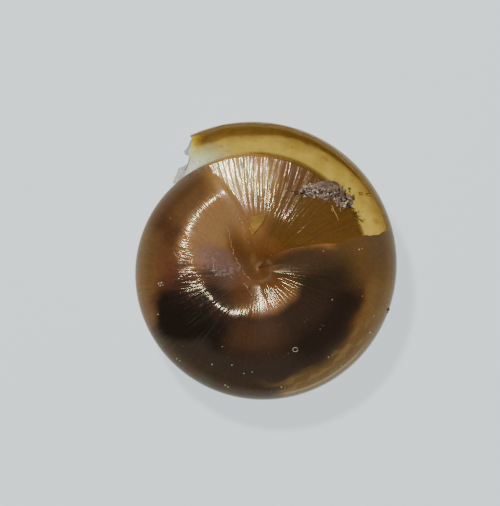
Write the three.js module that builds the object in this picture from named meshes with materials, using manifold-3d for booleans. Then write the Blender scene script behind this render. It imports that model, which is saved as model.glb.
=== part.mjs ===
import * as THREE from 'three';
import { mergeVertices } from 'three/addons/utils/BufferGeometryUtils.js';
import Module from 'manifold-3d';

// Land snail shell, lying on its flattened apex with its base up. Millimetres, +Z up.
// The origin is on the coil axis, which is Z, in the flat of the apex.
// A coil angle is in degrees from +X, anticlockwise seen from above, and goes on past 360 turn by turn.
// The whorls climb as they turn that way, so the shell is right-handed.

// Driving dimensions, in millimetres, degrees and shares
const LARGEST_DIAMETER = 3.8;
const WALL = 0.05;
const WHORLS = 6; // after the first turn of the apex
const WHORL_GROWTH = 1.272; // growth of the coil's radius in one turn
const LIP_ANGLE = 477; // coil angle of the mouth, at 117 degrees
const PERIPHERY_HEIGHT = 1.34; // of the widest line at the lip, above the point of the dome
const APEX_FLAT = 0.06; // how much of that point is flattened
const APEX_START_SHARE = 0.15; // radius at which the apex turn opens, as a share of its last radius
const DOME_POWER = 1.66; // how the dome of the spire steepens outwards
const SUTURE_SHOULDER = [0.1, 0.02]; // how each whorl leaves the suture, as shares of its radius
const SIDE_SWELL = 0.13; // depth over which its side turns upright, as a share of its radius
const BASE_RISE = 0.2; // of the base's ridge above the widest line, as a share of the radius there
const RIDGE_SHARE = 0.456; // place of the ridge, as a share of the same radius
const FUNNEL_SLOPE = 0.25; // fall of the base from the ridge to the navel
const FUNNEL_ROUNDING = 0.08;
const NAVEL_FLOOR = 0.8; // height of the closed bottom of the navel
const BREAK_ARC = 100; // degrees of the last whorl's base that are broken away behind the lip
// The break's edge near its start, as [distance from the axis, degrees past the start of the arc]
const BREAK_EDGE = [
  [0.3, 30],
  [0.52, 15],
  [0.72, 8],
  [1.1, 1.5],
  [1.5, 0.5],
];
const LIP_LEAN = 20; // degrees that the lip reaches on along the suture
const MOUTH_DEPTH = 720; // degrees that the hollow is followed in from the lip

// How finely the surfaces are faceted
const STEP = 10;
const SPIRE_POINTS = 6;
const OUTER_BASE_POINTS = 5;
const FUNNEL_SHARES = [0.35, 0.24, 0.13, 0.04];
const COLUMELLA_POINT = 8; // the base point where the hollow ends at the columella

const CLEAR_HEIGHT = 2.4; // above the whole shell
const NOTCH_FLOOR = 1.12; // inside the hollow, between the last whorl's base and the whorl under it

const lipRadius = LARGEST_DIAMETER / (1 + 1 / Math.sqrt(WHORL_GROWTH));
const startAngle = LIP_ANGLE - 360 * WHORLS;
const apexAngle = startAngle - 360;
const breakAngle = LIP_ANGLE - BREAK_ARC;

const wasm = await Module();
wasm.setup();

// Spiral of the widest line

function peripheryRadius(angle) {
  if (angle >= startAngle) return lipRadius * WHORL_GROWTH ** ((angle - LIP_ANGLE) / 360);
  if (angle <= apexAngle) return 0;
  const opened = (angle - apexAngle) / 360;
  return peripheryRadius(startAngle) * (APEX_START_SHARE + (1 - APEX_START_SHARE) * opened);
}

function aboveRest(height) {
  return Math.max(height - APEX_FLAT, 0);
}

function peripheryHeight(angle) {
  return PERIPHERY_HEIGHT * (peripheryRadius(angle) / lipRadius) ** DOME_POWER;
}

// Points of the section, as [distance from the axis, height]

function periphery(angle) {
  return [peripheryRadius(angle), aboveRest(peripheryHeight(angle))];
}

// The widest line of the whorl before, to which the whorl is fused; the first turn starts at the apex
function suture(angle) {
  return angle - 360 < apexAngle ? [0, 0] : periphery(angle - 360);
}

// Curve of the spire side from the suture, down round the whorl's crown and up to the widest line
function spireCurve(angle) {
  const radius = peripheryRadius(angle);
  const [sutureRadius] = suture(angle);
  const sutureHeight = angle - 360 < apexAngle ? 0 : peripheryHeight(angle - 360);
  const [outwards, upwards] = SUTURE_SHOULDER;
  return new THREE.CubicBezierCurve(
    new THREE.Vector2(sutureRadius, sutureHeight),
    new THREE.Vector2(sutureRadius + outwards * radius, sutureHeight + upwards * radius),
    new THREE.Vector2(radius, peripheryHeight(angle) - SIDE_SWELL * radius),
    new THREE.Vector2(radius, peripheryHeight(angle)),
  );
}

function spirePoints(angle) {
  return spireCurve(angle).getPoints(SPIRE_POINTS).map(({ x, y }) => [x, aboveRest(y)]);
}

// Rise of the base above the widest line, both as shares of the radius there
function baseRise(share) {
  if (share >= RIDGE_SHARE) {
    const outwards = (share - RIDGE_SHARE) / (1 - RIDGE_SHARE);
    return BASE_RISE * Math.sqrt(Math.max(1 - outwards ** 2, 0));
  }
  const inwards = RIDGE_SHARE - share;
  return BASE_RISE - FUNNEL_SLOPE * (Math.hypot(inwards, FUNNEL_ROUNDING) - FUNNEL_ROUNDING);
}

const baseShares = [];
for (let i = 0; i <= OUTER_BASE_POINTS; i += 1) {
  const swing = (Math.PI / 2) * (1 - i / OUTER_BASE_POINTS);
  baseShares.push(RIDGE_SHARE + (1 - RIDGE_SHARE) * Math.sin(swing));
}
baseShares.push(...FUNNEL_SHARES);

// Base from the widest line over the ridge and down the funnel to the navel, on the axis
function basePoints(angle) {
  const radius = peripheryRadius(angle);
  const points = baseShares.map((share) => [
    share * radius,
    aboveRest(peripheryHeight(angle) + baseRise(share) * radius),
  ]);
  points[0] = periphery(angle);
  return [...points, [0, NAVEL_FLOOR]];
}

// Points moved in by the wall's thickness, square to the line that they make; the hollow is on its left
function insideOf(points) {
  return points.map((point, i) => {
    const before = points[Math.max(i - 1, 0)];
    const after = points[Math.min(i + 1, points.length - 1)];
    const along = new THREE.Vector2(after[0] - before[0], after[1] - before[1]).normalize();
    return [point[0] - along.y * WALL, point[1] + along.x * WALL];
  });
}

// Inner line of the wall from the suture round the widest line to the columella
function innerLine(angle) {
  const outer = [...spirePoints(angle), ...basePoints(angle).slice(1, COLUMELLA_POINT + 1)];
  return insideOf(outer);
}

// Sections of the hollow, clockwise: in along the whorl before, then back out along the wall

function closedSection(angle) {
  const floor = basePoints(angle - 360).slice(1, COLUMELLA_POINT + 1);
  return [...floor, ...innerLine(angle).reverse()];
}

// The narrow rim that the broken base leaves along the widest line
function rimRadius(angle) {
  return innerLine(angle)[SPIRE_POINTS + 1][0];
}

// Where the base is broken away, the hollow is open to above inside that rim
function openSection(angle) {
  const floor = basePoints(angle - 360).slice(1);
  const wall = innerLine(angle).slice(0, SPIRE_POINTS + 2).reverse();
  return [...floor, [0, CLEAR_HEIGHT], [rimRadius(angle), CLEAR_HEIGHT], ...wall];
}

// Faces

function place([radius, height], angle) {
  const azimuth = THREE.MathUtils.degToRad(THREE.MathUtils.euclideanModulo(angle, 360));
  return new THREE.Vector3(radius * Math.cos(azimuth), radius * Math.sin(azimuth), height);
}

function addStrip(triangles, line, next, facingUp) {
  for (let i = 0; i + 1 < line.length; i += 1) {
    const pair = [
      [line[i], line[i + 1], next[i + 1]],
      [line[i], next[i + 1], next[i]],
    ];
    for (const [a, b, c] of pair) triangles.push(facingUp ? [a, c, b] : [a, b, c]);
  }
}

// A flat face in the plane of one azimuth, looking the way the shell grows or back
function addCap(triangles, points, angle, lookingOn) {
  const contour = points.map(([radius, height]) => new THREE.Vector2(radius, height));
  for (const [a, b, c] of THREE.ShapeUtils.triangulateShape(contour, [])) {
    const area = THREE.ShapeUtils.area([contour[a], contour[b], contour[c]]);
    const order = area < 0 === lookingOn ? [a, b, c] : [a, c, b];
    triangles.push(order.map((index) => place(points[index], angle)));
  }
}

function solidOf(triangles) {
  const geometry = new THREE.BufferGeometry().setFromPoints(triangles.flat());
  const merged = mergeVertices(geometry, 1e-6);
  const index = merged.index.array;
  const kept = [];
  for (let i = 0; i < index.length; i += 3) {
    const [a, b, c] = index.slice(i, i + 3);
    if (a !== b && b !== c && c !== a) kept.push(a, b, c);
  }
  return new wasm.Manifold(new wasm.Mesh({
    numProp: 3,
    vertProperties: new Float32Array(merged.attributes.position.array),
    triVerts: new Uint32Array(kept),
  }));
}

// The shell as a full body: spire side, base of the last turn, and a lid over the mouth
function fullBody() {
  const triangles = [];
  for (let angle = apexAngle; angle < LIP_ANGLE; angle += STEP) {
    const line = spirePoints(angle).map((point) => place(point, angle));
    const next = spirePoints(angle + STEP).map((point) => place(point, angle + STEP));
    addStrip(triangles, line, next, true);
  }
  for (let angle = LIP_ANGLE - 360; angle < LIP_ANGLE; angle += STEP) {
    const fromSuture = angle < LIP_ANGLE - 360 + LIP_LEAN ? 1 : 0;
    const line = basePoints(angle).slice(fromSuture).map((point) => place(point, angle));
    const next = basePoints(angle + STEP).slice(fromSuture).map((point) => place(point, angle + STEP));
    addStrip(triangles, line, next, true);
  }
  const mouth = [...basePoints(LIP_ANGLE), ...basePoints(LIP_ANGLE - 360).slice(1, -1).reverse()];
  addCap(triangles, mouth, LIP_ANGLE, true);
  addLeaningLip(triangles);
  return solidOf(triangles);
}

// The lip's spire side reaches on along the suture, so it ends in a slanted edge there.
// It is fused to the whorl before over the first strip of that whorl's base.
function addLeaningLip(triangles) {
  const middle = SPIRE_POINTS / 2;
  const half = LIP_ANGLE + LIP_LEAN / 2;
  const end = LIP_ANGLE + LIP_LEAN;
  const last = spirePoints(LIP_ANGLE).map((point) => place(point, LIP_ANGLE));
  const leaning = spirePoints(half).slice(0, middle + 1).map((point) => place(point, half));
  const tip = place(suture(end), end);
  const crown = leaning[middle];
  const fused = [LIP_ANGLE, half, end].map((angle) => place(basePoints(angle - 360)[1], angle));
  addStrip(triangles, last.slice(0, middle + 1), leaning, true);
  for (let i = middle; i < SPIRE_POINTS; i += 1) triangles.push([last[i], crown, last[i + 1]]);
  for (let i = 0; i < middle; i += 1) triangles.push([leaning[i], tip, leaning[i + 1]]);
  triangles.push([fused[0], last[SPIRE_POINTS], crown]);
  triangles.push([fused[0], crown, fused[1]]);
  triangles.push([fused[1], crown, fused[2]]);
  triangles.push([fused[2], crown, tip]);
}

// A closed body swept through the sections of a stretch of the coil
function sweep(section, from, to) {
  const triangles = [];
  for (let angle = from; angle < to; angle += STEP) {
    const line = section(angle).map((point) => place(point, angle));
    const next = section(angle + STEP).map((point) => place(point, angle + STEP));
    addStrip(triangles, [...line, line[0]], [...next, next[0]], false);
  }
  addCap(triangles, section(from), from, false);
  addCap(triangles, section(to), to, true);
  return solidOf(triangles);
}

// The first part of the break, where its edge runs in from the rim to the navel at a slant
function breakNotch(fullAngle) {
  const outline = [];
  for (let angle = breakAngle; angle <= fullAngle + STEP; angle += STEP) {
    outline.push(place([rimRadius(angle), 0], angle));
  }
  for (const [radius, past] of BREAK_EDGE) outline.push(place([radius, 0], breakAngle + past));
  const geometry = new THREE.ExtrudeGeometry(new THREE.Shape(outline), {
    depth: CLEAR_HEIGHT - NOTCH_FLOOR,
    bevelEnabled: false,
  });
  geometry.translate(0, 0, NOTCH_FLOOR);
  const corners = geometry.attributes.position;
  const triangles = [];
  for (let i = 0; i < corners.count; i += 3) {
    triangles.push([0, 1, 2].map((k) => new THREE.Vector3().fromBufferAttribute(corners, i + k)));
  }
  return solidOf(triangles);
}

function shellSolid() {
  const fullAngle = breakAngle + 2 * STEP;
  const hollow = sweep(closedSection, LIP_ANGLE - MOUTH_DEPTH, fullAngle + STEP);
  const opening = sweep(openSection, fullAngle, LIP_ANGLE + LIP_LEAN + STEP);
  return fullBody().subtract(hollow.add(opening).add(breakNotch(fullAngle)));
}

function geometryOf(solid) {
  const { vertProperties, triVerts, numProp } = solid.getMesh();
  const geometry = new THREE.BufferGeometry();
  const corners = new THREE.InterleavedBuffer(vertProperties, numProp);
  geometry.setAttribute('position', new THREE.InterleavedBufferAttribute(corners, 3, 0));
  geometry.setIndex(new THREE.BufferAttribute(triVerts, 1));
  const flat = geometry.toNonIndexed();
  flat.computeVertexNormals();
  return flat;
}

const amber = new THREE.MeshStandardMaterial({ color: 0x7a4f22, roughness: 0.22, metalness: 0 });

const shell = new THREE.Mesh(geometryOf(shellSolid()), amber);
shell.name = 'shell';

const snailShell = new THREE.Group();
snailShell.name = 'land_snail_shell';
snailShell.add(shell);

export default snailShell;
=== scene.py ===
"""Land snail shell, lying on its apex with its base up: the fine surface, its finish, and the dirt on it.

The shell is one thin sheet, rolled up along the coil. A point of it is given by its coil angle, in
degrees from +X and on past 360 turn by turn, and by its place across the whorl. Sizes are in metres.
Places read from the photo are in its pixels, and are turned into metres by photo_place().
"""

import math

import bmesh
import bpy
import numpy as np
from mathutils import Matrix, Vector, noise


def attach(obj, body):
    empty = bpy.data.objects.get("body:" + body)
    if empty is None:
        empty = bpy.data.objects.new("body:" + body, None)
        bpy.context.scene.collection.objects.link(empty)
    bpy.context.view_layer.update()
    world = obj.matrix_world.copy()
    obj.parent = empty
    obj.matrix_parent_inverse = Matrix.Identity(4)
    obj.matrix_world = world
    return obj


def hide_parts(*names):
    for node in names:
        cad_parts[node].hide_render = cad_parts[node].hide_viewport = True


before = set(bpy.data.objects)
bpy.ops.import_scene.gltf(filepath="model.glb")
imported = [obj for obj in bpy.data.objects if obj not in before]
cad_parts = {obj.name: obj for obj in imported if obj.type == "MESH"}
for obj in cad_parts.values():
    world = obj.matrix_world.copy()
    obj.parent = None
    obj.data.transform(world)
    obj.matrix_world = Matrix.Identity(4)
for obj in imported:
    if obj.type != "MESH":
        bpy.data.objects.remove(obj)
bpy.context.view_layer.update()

MM = 0.001

# The coil, as in the solid
LARGEST_DIAMETER = 3.8 * MM
WALL = 0.05 * MM
WHORLS = 6
WHORL_GROWTH = 1.272
LIP_ANGLE = 477
PERIPHERY_HEIGHT = 1.34 * MM
APEX_FLAT = 0.06 * MM
APEX_START_SHARE = 0.15
DOME_POWER = 1.66
SUTURE_SHOULDER = (0.1, 0.02)
SIDE_SWELL = 0.13
BASE_RISE = 0.2
RIDGE_SHARE = 0.456
FUNNEL_SLOPE = 0.25
FUNNEL_ROUNDING = 0.08
BREAK_ARC = 100

lip_radius = LARGEST_DIAMETER / (1 + 1 / math.sqrt(WHORL_GROWTH))
start_angle = LIP_ANGLE - 360 * WHORLS
apex_angle = start_angle - 360
break_angle = LIP_ANGLE - BREAK_ARC
old_lip_angle = LIP_ANGLE - 360

# The photo: the coil's centre, and the lip's distance from it, which gives the size of a pixel
PHOTO_WIDTH = 500
PHOTO_HEIGHT = 506
COIL_CENTRE = (258, 269.3)
PIXEL = lip_radius / 150.4


def smooth(value, low, high):
    """0 below low, 1 above high, and a soft step between."""
    share = np.clip((value - low) / (high - low), 0, 1)
    return share * share * (3 - 2 * share)


# Shape of the coil

OLD_LIP_LINE = (100, 117)  # coil angle of the old lip's line near the axis, and at the suture
OLD_LIP_SHARES = (0.3, 0.96)  # the shares of the radius between which it runs
OLD_LIP_SOFTNESS = 1.2
FLAT_SLOPE = 0.19
FLAT_EDGE = 0.022
FLAT_ROUNDING = 0.05
FLAT_SOFTER = 0.15  # more rounding on the right of the flat
# The funnel's slope changes along the coil: each change, and the coil angles between which it comes in
FUNNEL_CHANGES = ((-0.09, 240, 117), (-0.033, 236, 266), (-0.055, 300, 345), (0.1, 345, 377))
FUNNEL_TIGHTER = 0.025  # less rounding of the funnel's top below the navel
# A low shoulder turns with the last whorl: coil angle, and share of the radius at which it lies
SHOULDER_LINE = (
    (117, 0.71), (161, 0.625), (180, 0.51), (205, 0.425), (225, 0.38), (245, 0.325), (270, 0.29),
    (300, 0.28), (377, 0.28),
)
SHOULDER_BEND = 0.11
RIDGE_SHIFT = 0.08  # how much further in the ridge lies below the navel
SHOULDER_WIDTH = 0.045
NAVEL_HEIGHT = 80 * PIXEL
NAVEL_REACH = 14 * PIXEL


def periphery_radius(angle):
    """Distance from the axis of the widest line; over the first turn it opens from a point."""
    angle = np.asarray(angle, float)
    grown = lip_radius * WHORL_GROWTH ** ((angle - LIP_ANGLE) / 360)
    first = lip_radius * WHORL_GROWTH ** -WHORLS
    opened = APEX_START_SHARE + (1 - APEX_START_SHARE) * (angle - apex_angle) / 360
    return np.where(angle >= start_angle, grown, np.maximum(first * opened, 0) * (angle > apex_angle))


def periphery_height(angle):
    return PERIPHERY_HEIGHT * (periphery_radius(angle) / lip_radius) ** DOME_POWER


def above_rest(height):
    return np.maximum(height - APEX_FLAT, 0)


def spire_point(angle, along):
    """Distance from the axis and height on the spire side; along is 0 at the suture, 1 at the widest line."""
    radius = periphery_radius(angle)
    before = np.asarray(angle) - 360
    has_before = before >= apex_angle
    suture_radius = np.where(has_before, periphery_radius(before), 0)
    suture_height = np.where(has_before, periphery_height(before), 0)
    outwards, upwards = SUTURE_SHOULDER
    corners = (
        (suture_radius, suture_height),
        (suture_radius + outwards * radius, suture_height + upwards * radius),
        (radius, periphery_height(angle) - SIDE_SWELL * radius),
        (radius, periphery_height(angle)),
    )
    weights = ((1 - along) ** 3, 3 * along * (1 - along) ** 2, 3 * along**2 * (1 - along), along**3)
    distance = sum(weight * corner[0] for weight, corner in zip(weights, corners))
    height = sum(weight * corner[1] for weight, corner in zip(weights, corners))
    return distance, above_rest(height)


def base_rise(share, angle):
    """Rise of the base above the widest line; inside the old lip's line the base is flatter."""
    outwards = np.clip((share - RIDGE_SHARE) / (1 - RIDGE_SHARE), 0, 1)
    rounded = BASE_RISE * np.sqrt(1 - outwards**2)

    ridge = RIDGE_SHARE - RIDGE_SHIFT * smooth(angle, 236, 272) * smooth(angle, 377, 348)
    inwards = np.maximum(ridge - share, 0)
    slope = FUNNEL_SLOPE + sum(change * smooth(angle, start, end) for change, start, end in FUNNEL_CHANGES)
    rounding = FUNNEL_ROUNDING - FUNNEL_TIGHTER * smooth(angle, 236, 266)
    funnel = slope * (np.hypot(inwards, rounding) - rounding)

    rounding = FLAT_ROUNDING + FLAT_SOFTER * smooth(angle, 72, 42)
    flat = BASE_RISE - FLAT_SLOPE * (np.hypot(np.maximum(share - RIDGE_SHARE, 0), rounding) - rounding)
    to_edge = np.clip((1 - share) / FLAT_EDGE, 0, 1)
    flat = flat * np.sqrt(to_edge * (2 - to_edge))

    inner, outer = OLD_LIP_SHARES
    along_line = np.clip((share - inner) / (outer - inner), -0.5, 1)
    line = OLD_LIP_LINE[0] + (OLD_LIP_LINE[1] - OLD_LIP_LINE[0]) * along_line
    past_line = smooth(angle - line, -OLD_LIP_SOFTNESS, OLD_LIP_SOFTNESS)

    turns, shares = zip(*SHOULDER_LINE)
    shoulder = np.interp(angle, turns, shares)
    inside, outside = (np.log(np.cosh((place - shoulder) / SHOULDER_WIDTH)) for place in (share, 1))
    bend = -SHOULDER_BEND / 2 * SHOULDER_WIDTH * (inside - outside) * past_line * smooth(angle, 278, 240)
    return np.where(share >= RIDGE_SHARE, flat + (rounded - flat) * past_line, BASE_RISE - funnel) + bend


def base_point(angle, share):
    """Distance from the axis and height on the base, at a share of the radius."""
    radius = periphery_radius(angle)
    distance = share * radius
    height = above_rest(periphery_height(angle) + base_rise(share, angle) * radius)
    to_navel = 1 - smooth(distance, 0, NAVEL_REACH)
    return distance, height + (NAVEL_HEIGHT - height) * to_navel


def in_space(distance, height, angle):
    azimuth = np.radians(angle)
    return np.stack([distance * np.cos(azimuth), distance * np.sin(azimuth), height], axis=-1)


def photo_place(x, y):
    """A pixel of the photo, as a place in plan."""
    return (x - COIL_CENTRE[0]) * PIXEL, (COIL_CENTRE[1] - y) * PIXEL


def coil_angle_at(x, y):
    """Coil angle of the surface that the camera sees at a place in plan, and its share of the radius."""
    azimuth = math.degrees(math.atan2(y, x)) % 360
    distance = math.hypot(x, y)
    last = azimuth if azimuth >= old_lip_angle else azimuth + 360
    angle = last if last <= break_angle else last - 360
    return angle, distance / float(periphery_radius(angle))


def surface_height(x, y):
    """Height of the surface that the camera sees at a place in plan."""
    angle, share = coil_angle_at(x, y)
    if share > 1:
        before = float(periphery_radius(angle))
        along = (math.hypot(x, y) - before) / (float(periphery_radius(angle + 360)) - before)
        return float(spire_point(angle + 360, min(along, 1))[1]) + WALL
    return float(base_point(angle, share)[1])


def on_surface(x, y, above=0.0):
    """The place under a pixel of the photo, at a height above the surface that the camera sees."""
    place_x, place_y = photo_place(x, y)
    return place_x, place_y, surface_height(place_x, place_y) + above


# Mesh making

SHARP_ANGLE = math.radians(55)


def new_piece(name, vertices, faces, *materials, smooth_faces=True):
    mesh = bpy.data.meshes.new(name)
    mesh.from_pydata([tuple(v) for v in vertices], [], [tuple(f) for f in faces])
    mesh.validate()
    if smooth_faces:
        mesh.shade_smooth()
    for material in materials:
        mesh.materials.append(material)
    piece = bpy.data.objects.new(name, mesh)
    bpy.context.scene.collection.objects.link(piece)
    return piece


def thicken(piece, thickness, inner=0, edge=0, thin=None, thinnest=1):
    """Makes the sheet a closed body, thickened away from its outer face, and thinner where thin is 1."""
    modifier = piece.modifiers.new("wall", "SOLIDIFY")
    modifier.thickness = thickness
    modifier.offset = -1
    modifier.use_even_offset = False
    modifier.material_offset = inner
    modifier.material_offset_rim = edge
    if thin is not None:
        group = piece.vertex_groups.new(name="full thickness")
        for i, thinned in enumerate(thin):
            group.add([i], float(1 - thinned), "REPLACE")
        modifier.vertex_group = group.name
        modifier.thickness_vertex_group = thinnest
    depsgraph = bpy.context.evaluated_depsgraph_get()
    solid = bpy.data.meshes.new_from_object(piece.evaluated_get(depsgraph))
    piece.modifiers.clear()
    solid.set_sharp_from_angle(angle=SHARP_ANGLE)
    piece.data = solid


def join_parts(name, parts, material, smooth_faces=True):
    """One mesh of many small closed bodies, each given as vertices and faces."""
    vertices, faces = [], []
    for part_vertices, part_faces in parts:
        first = len(vertices)
        vertices.extend(part_vertices)
        faces.extend(tuple(first + i for i in face) for face in part_faces)
    return new_piece(name, vertices, faces, material, smooth_faces=smooth_faces)


# The wall

# Degrees between the wall's columns
OLD_STEP = 3.75
HIDDEN_STEP = 2
VISIBLE_STEP = 0.9
LIP_STEP = BREAK_ARC / 112
NEARLY = 0.01  # degrees by which two coil angles may differ and count as the same
FINE_FROM = LIP_ANGLE - 540
VISIBLE_FROM = break_angle - 360
NAVEL_COLUMN_AT = 200  # coil angle of the column whose last point is the middle of the base
SPIRE_ROWS = 14
RIM_ROWS = 3
SHOULDER_ROWS = 36
FUNNEL_ROWS = 24
HIDDEN_SHARE = 0.2  # the base under the last whorl ends this near the axis
RIM_SHARE = 0.978  # where the rim that is left of the broken base ends
RIM_NARROWER = 0.014
# Degrees over which the wall's columns swing round to the ragged lip and the broken edge, and thin out
LIP_DRAWN, LIP_THINNED = 30, 8
BREAK_DRAWN, BREAK_THINNED = 50, 12
# The coarser growth lines are low ripples: their spacing in degrees, and their height for each metre
# from the axis
RIPPLES = ((4.5, 0.0005), (7.7, 0.0004))

# The lip on the spire side, as share of the way from the suture to the widest line, and coil angle
LIP_LINE = (
    (0, 494.6), (0.06, 489.5), (0.123, 486.1), (0.266, 483.4), (0.464, 481.1), (0.8, 477.9),
    (0.87, 477), (1, 477),
)
# The broken edge of the base, as distance from the axis in pixels, and azimuth
BREAK_LINE = (
    (0, 60), (18, 44), (39, 31.6), (54, 25.4), (82, 18.6), (114, 17.5), (124, 16.1), (134, 17),
    (150, 17),
)


def ragged(place, seed, size):
    """A few octaves of unevenness along a line, between about -size and size."""
    return sum(
        noise.noise(Vector((place * turns, seed, 0))) / turns**0.6 for turns in (1, 2.3, 5.1, 11)
    ) * size


def rim_share(angles):
    """Where the rim that is left of the broken base ends, as a share of the radius."""
    unevenness = np.array([ragged(angle / 9, 3.7, 0.006) for angle in angles])
    narrower = RIM_NARROWER * smooth(angles, break_angle + 25, break_angle + 70)
    return RIM_SHARE + narrower + unevenness * smooth(angles, break_angle, break_angle + 6)


def wall_rows(angles):
    """Base shares from the widest line to the navel, one list for each angle."""
    rim = rim_share(angles)[:, None]
    rim_swing = np.arcsin((rim - RIDGE_SHARE) / (1 - RIDGE_SHARE))
    over_rim = np.linspace(0, 1, RIM_ROWS + 1)[None, 1:]
    swing = np.pi / 2 + (rim_swing - np.pi / 2) * over_rim
    shoulder = rim_swing * (1 - np.linspace(0, 1, SHOULDER_ROWS + 1)[None, 1:])
    outer = RIDGE_SHARE + (1 - RIDGE_SHARE) * np.sin(np.concatenate([swing, shoulder], axis=1))
    funnel = RIDGE_SHARE - RIDGE_SHARE * np.linspace(0, 1, FUNNEL_ROWS + 1)[None, 1:]
    return np.concatenate([outer, np.repeat(funnel, len(angles), axis=0)], axis=1)


def lip_angle_at(along_share):
    shares, angles = zip(*LIP_LINE)
    line = np.interp(along_share, shares, angles)
    unevenness = np.array([ragged(s * 6, 8.1, 0.5) for s in np.ravel(along_share)])
    return line + unevenness.reshape(np.shape(along_share)) * smooth(along_share, 1, 0.85)


def break_angle_at(distance):
    places, azimuths = zip(*BREAK_LINE)
    line = np.interp(distance / PIXEL, places, azimuths) + 360
    unevenness = np.array([ragged(d / PIXEL / 14, 5.3, 0.7) for d in np.ravel(distance)])
    return line + unevenness.reshape(np.shape(distance)) * smooth(distance, 134 * PIXEL, 120 * PIXEL)


def ripple(angles, shares):
    """Height of the coarser growth lines for each metre from the axis; they fade at the rows' ends."""
    columns = angles[:, 0]
    wander = np.array([ragged(angle / 25, 9.2, 2.5) for angle in columns])[:, None]
    turned = angles + wander + 3 * shares
    wave = sum(height * np.sin(2 * np.pi * turned / spacing) for spacing, height in RIPPLES)
    inside_ends = np.clip(np.minimum(shares, 1 - shares) / 0.05, 0, 1)
    return wave * smooth(angles, VISIBLE_FROM - 20, VISIBLE_FROM) * inside_ends


def wall_angles():
    """Coil angles of the wall's columns: far apart where it is hidden, close together where it is seen."""
    return np.concatenate(
        [
            np.arange(apex_angle + OLD_STEP, FINE_FROM - NEARLY, OLD_STEP),
            np.arange(FINE_FROM, VISIBLE_FROM - NEARLY, HIDDEN_STEP),
            np.arange(VISIBLE_FROM, break_angle - NEARLY, VISIBLE_STEP),
            np.arange(break_angle, LIP_ANGLE + NEARLY, LIP_STEP),
        ]
    )


def last_row_at(angle, shares, rows):
    """The last row of the wall at a coil angle: old whorls have no base, and the broken one only a rim."""
    if angle < FINE_FROM - NEARLY:
        return SPIRE_ROWS
    if angle < VISIBLE_FROM - NEARLY:
        return SPIRE_ROWS + int(np.sum(shares > HIDDEN_SHARE))
    if angle < break_angle - NEARLY:
        return rows - 1
    return SPIRE_ROWS + RIM_ROWS


def make_wall(outside, inside, edge):
    """The shell's wall: one sheet of columns along the coil, from the apex to the ragged lip."""
    angles = wall_angles()
    along = np.linspace(0, 1, SPIRE_ROWS + 1)

    # Spire side, drawn out to the lip
    distance, height = spire_point(angles[:, None], along[None, :])
    low, high = distance[-1, 0], distance[-1, -1]
    share_across = (distance[-1] - low) / (high - low)
    drawn = smooth(angles, LIP_ANGLE - LIP_DRAWN, LIP_ANGLE)[:, None]
    spire_angles = angles[:, None] + (lip_angle_at(share_across) - LIP_ANGLE)[None, :] * drawn
    distance, height = spire_point(spire_angles, along[None, :])
    height = height + ripple(spire_angles, along[None, :]) * distance
    spire = in_space(distance, height, spire_angles)

    # Base, drawn to the broken edge inside the rim
    shares = wall_rows(angles)
    base_distance, _ = base_point(angles[:, None], shares)
    to_break = break_angle_at(base_distance) - break_angle
    inside_rim = np.arange(shares.shape[1]) >= RIM_ROWS
    drawn = smooth(angles, break_angle - BREAK_DRAWN, break_angle)[:, None] * inside_rim[None, :]
    base_angles = angles[:, None] + to_break * drawn
    base_distance, base_height = base_point(base_angles, shares)
    base_height = base_height + ripple(base_angles, shares) * base_distance
    base = in_space(base_distance, base_height, base_angles)

    places = np.concatenate([spire, base], axis=1)
    growth = np.concatenate([spire_angles, base_angles], axis=1)
    across = np.concatenate([np.repeat(along[None, :], len(angles), axis=0), 2 - shares], axis=1)
    columns, rows = growth.shape
    point = np.arange(columns * rows).reshape(columns, rows)
    # Points on the axis are one point: the apex, and the middle of the base
    point[angles - 360 <= apex_angle + NEARLY, 0] = point[0, 0]
    point[:, -1] = point[np.searchsorted(angles, NAVEL_COLUMN_AT), -1]
    cells = []
    for i in range(columns - 1):
        for j in range(last_row_at(angles[i], shares[i], rows)):
            corners = (point[i, j], point[i + 1, j], point[i + 1, j + 1], point[i, j + 1])
            cells.append(tuple(dict.fromkeys(int(corner) for corner in corners)))

    used = np.unique([corner for cell in cells for corner in cell])
    renumber = np.full(columns * rows, -1)
    renumber[used] = np.arange(len(used))
    faces = [tuple(int(renumber[corner]) for corner in cell) for cell in cells]
    shell = new_piece("shell_wall", places.reshape(-1, 3)[used], faces, outside, inside, edge)
    add_values(shell, "growth", growth.reshape(-1)[used])
    add_values(shell, "across", across.reshape(-1)[used])
    near_break = smooth(angles, break_angle - BREAK_THINNED, break_angle)[:, None]
    near_break = near_break * (np.arange(rows) > SPIRE_ROWS + RIM_ROWS)
    near_lip = smooth(angles, LIP_ANGLE - LIP_THINNED, LIP_ANGLE)[:, None] * np.ones(rows)
    thin = np.maximum(near_break, near_lip).reshape(-1)[used]
    thicken(shell, WALL, inner=1, edge=2, thin=thin, thinnest=0.2)
    return shell


def add_values(piece, name, values):
    attribute = piece.data.attributes.new(name, "FLOAT", "POINT")
    attribute.data.foreach_set("value", np.asarray(values, np.float32))


# Thin remains of the wall


FLAKE_LIFT = 0.02 * MM
FLAKE_THICKNESS = 0.006 * MM
REMNANT_LIFT = 0.012 * MM
REMNANT_THICKNESS = 0.008 * MM


def above_wall(x, y):
    """The place under a photo pixel, just above the last turn's spire side as it would go on past the lip."""
    place_x, place_y = photo_place(x, y)
    angle = math.degrees(math.atan2(place_y, place_x)) % 360 + 360
    steps = np.linspace(-0.2, 1, 61)
    along = float(np.interp(math.hypot(place_x, place_y), spire_point(angle, steps)[0], steps))
    return Vector((place_x, place_y, float(spire_point(angle, along)[1]) + FLAKE_LIFT))


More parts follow.
